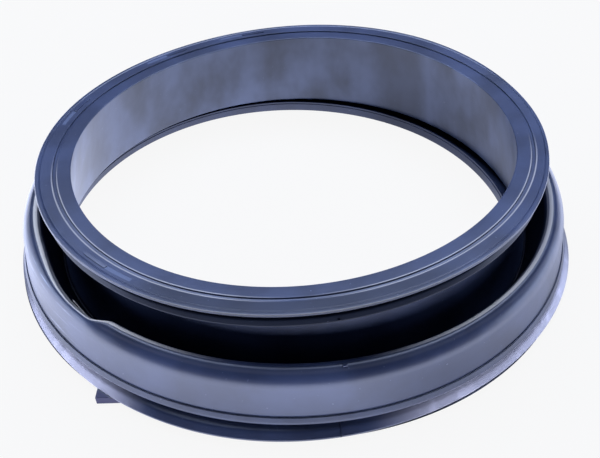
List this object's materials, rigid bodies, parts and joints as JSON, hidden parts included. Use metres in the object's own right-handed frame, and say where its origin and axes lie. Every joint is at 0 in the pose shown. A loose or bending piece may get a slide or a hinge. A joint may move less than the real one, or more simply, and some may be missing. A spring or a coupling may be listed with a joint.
{
  "type": "washing machine door seal",
  "caption": "Moulded rubber bellows ring that seals a front-loading washing machine's door to its tub.",
  "frame": {"origin": "centre of the tub flange, on the surface that the seal lies on", "axes": "+Z out of the machine through the loading opening, towards the door; -Y towards the picture's camera"},
  "size_m": [0.3896, 0.3896, 0.0831],
  "materials": {
    "seal_rubber": "slate blue-grey moulded rubber, satin, with scuffs and cloudy marks"
  },
  "bodies": {
    "root": {"door_seal": "seal_rubber"}
  },
  "joints": []
}
